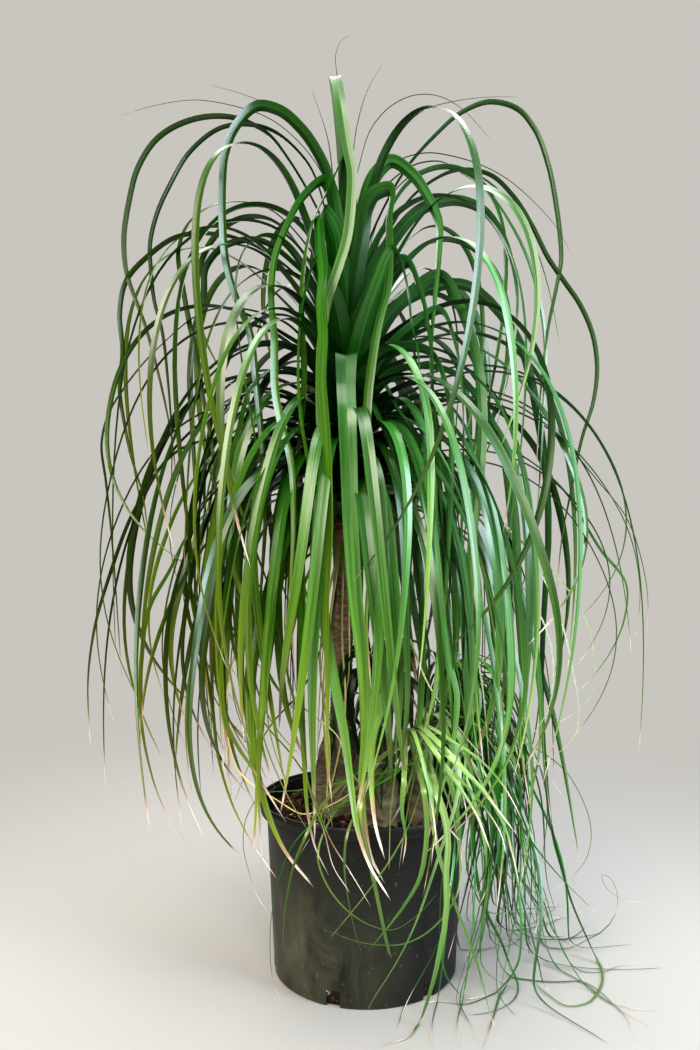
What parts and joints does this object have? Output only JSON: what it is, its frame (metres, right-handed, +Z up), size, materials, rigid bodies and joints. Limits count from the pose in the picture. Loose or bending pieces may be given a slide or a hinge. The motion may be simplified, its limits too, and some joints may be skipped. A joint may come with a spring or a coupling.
{
  "type": "potted ponytail palm",
  "caption": "A house plant in a round nursery pot: a bare ringed trunk carries a tall fountain of arching strap leaves, with young plants beside it spilling over the rim.",
  "frame": {"origin": "middle of the pot's flat underside, on the surface that it stands on", "axes": "+Z up along the pot's axis, -Y towards the front of the plant, +X to the right of the front, where the young plants spill over"},
  "size_m": [0.8202, 0.6937, 1.2442],
  "materials": {
    "pot": "moulded, dusty",
    "soil": "loose bark mix",
    "bark": "dry, ringed",
    "leaf": "waxy",
    "dark_leaf": "waxy",
    "pale_leaf": "waxy"
  },
  "bodies": {
    "root": {"pot": "pot", "soil": "soil", "trunk": "bark", "second_caudex": "bark", "third_caudex": "bark", "fourth_caudex": "bark", "crown_leaves": "leaf", "second_leaves": "dark_leaf", "third_leaves": "pale_leaf", "fourth_leaves": "pale_leaf"}
  },
  "joints": []
}
